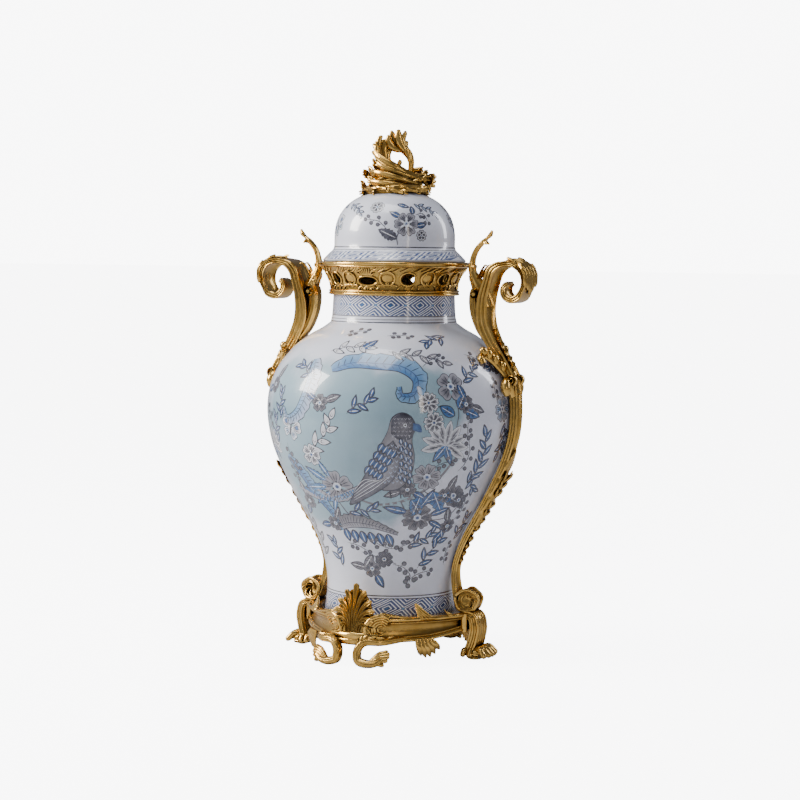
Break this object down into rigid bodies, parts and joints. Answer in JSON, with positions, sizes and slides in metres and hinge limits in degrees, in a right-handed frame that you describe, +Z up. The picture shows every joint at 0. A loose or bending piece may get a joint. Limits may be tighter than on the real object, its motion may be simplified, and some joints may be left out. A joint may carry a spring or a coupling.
{
  "type": "lidded porcelain ginger jar",
  "caption": "Lidded baluster jar of white porcelain painted in blue and grey, in gilt bronze mounts: footed base, scroll handles, pierced collar and leaf finial.",
  "frame": {"origin": "centre of the footprint, on the surface that the jar stands on", "axes": "+Z up along the jar's axis, +X towards the right handle, -Y towards the front leaf palmette"},
  "size_m": [0.3428, 0.293, 0.6109],
  "materials": {
    "porcelain": "gloss glaze, painted in blue and grey",
    "gilt_bronze": "burnished gilding, darker in the recesses"
  },
  "bodies": {
    "root": {"jar_body": "porcelain", "lid": "porcelain", "collar": "gilt_bronze", "finial": "gilt_bronze", "handle_right": "gilt_bronze", "handle_left": "gilt_bronze", "base": "gilt_bronze"}
  },
  "joints": []
}
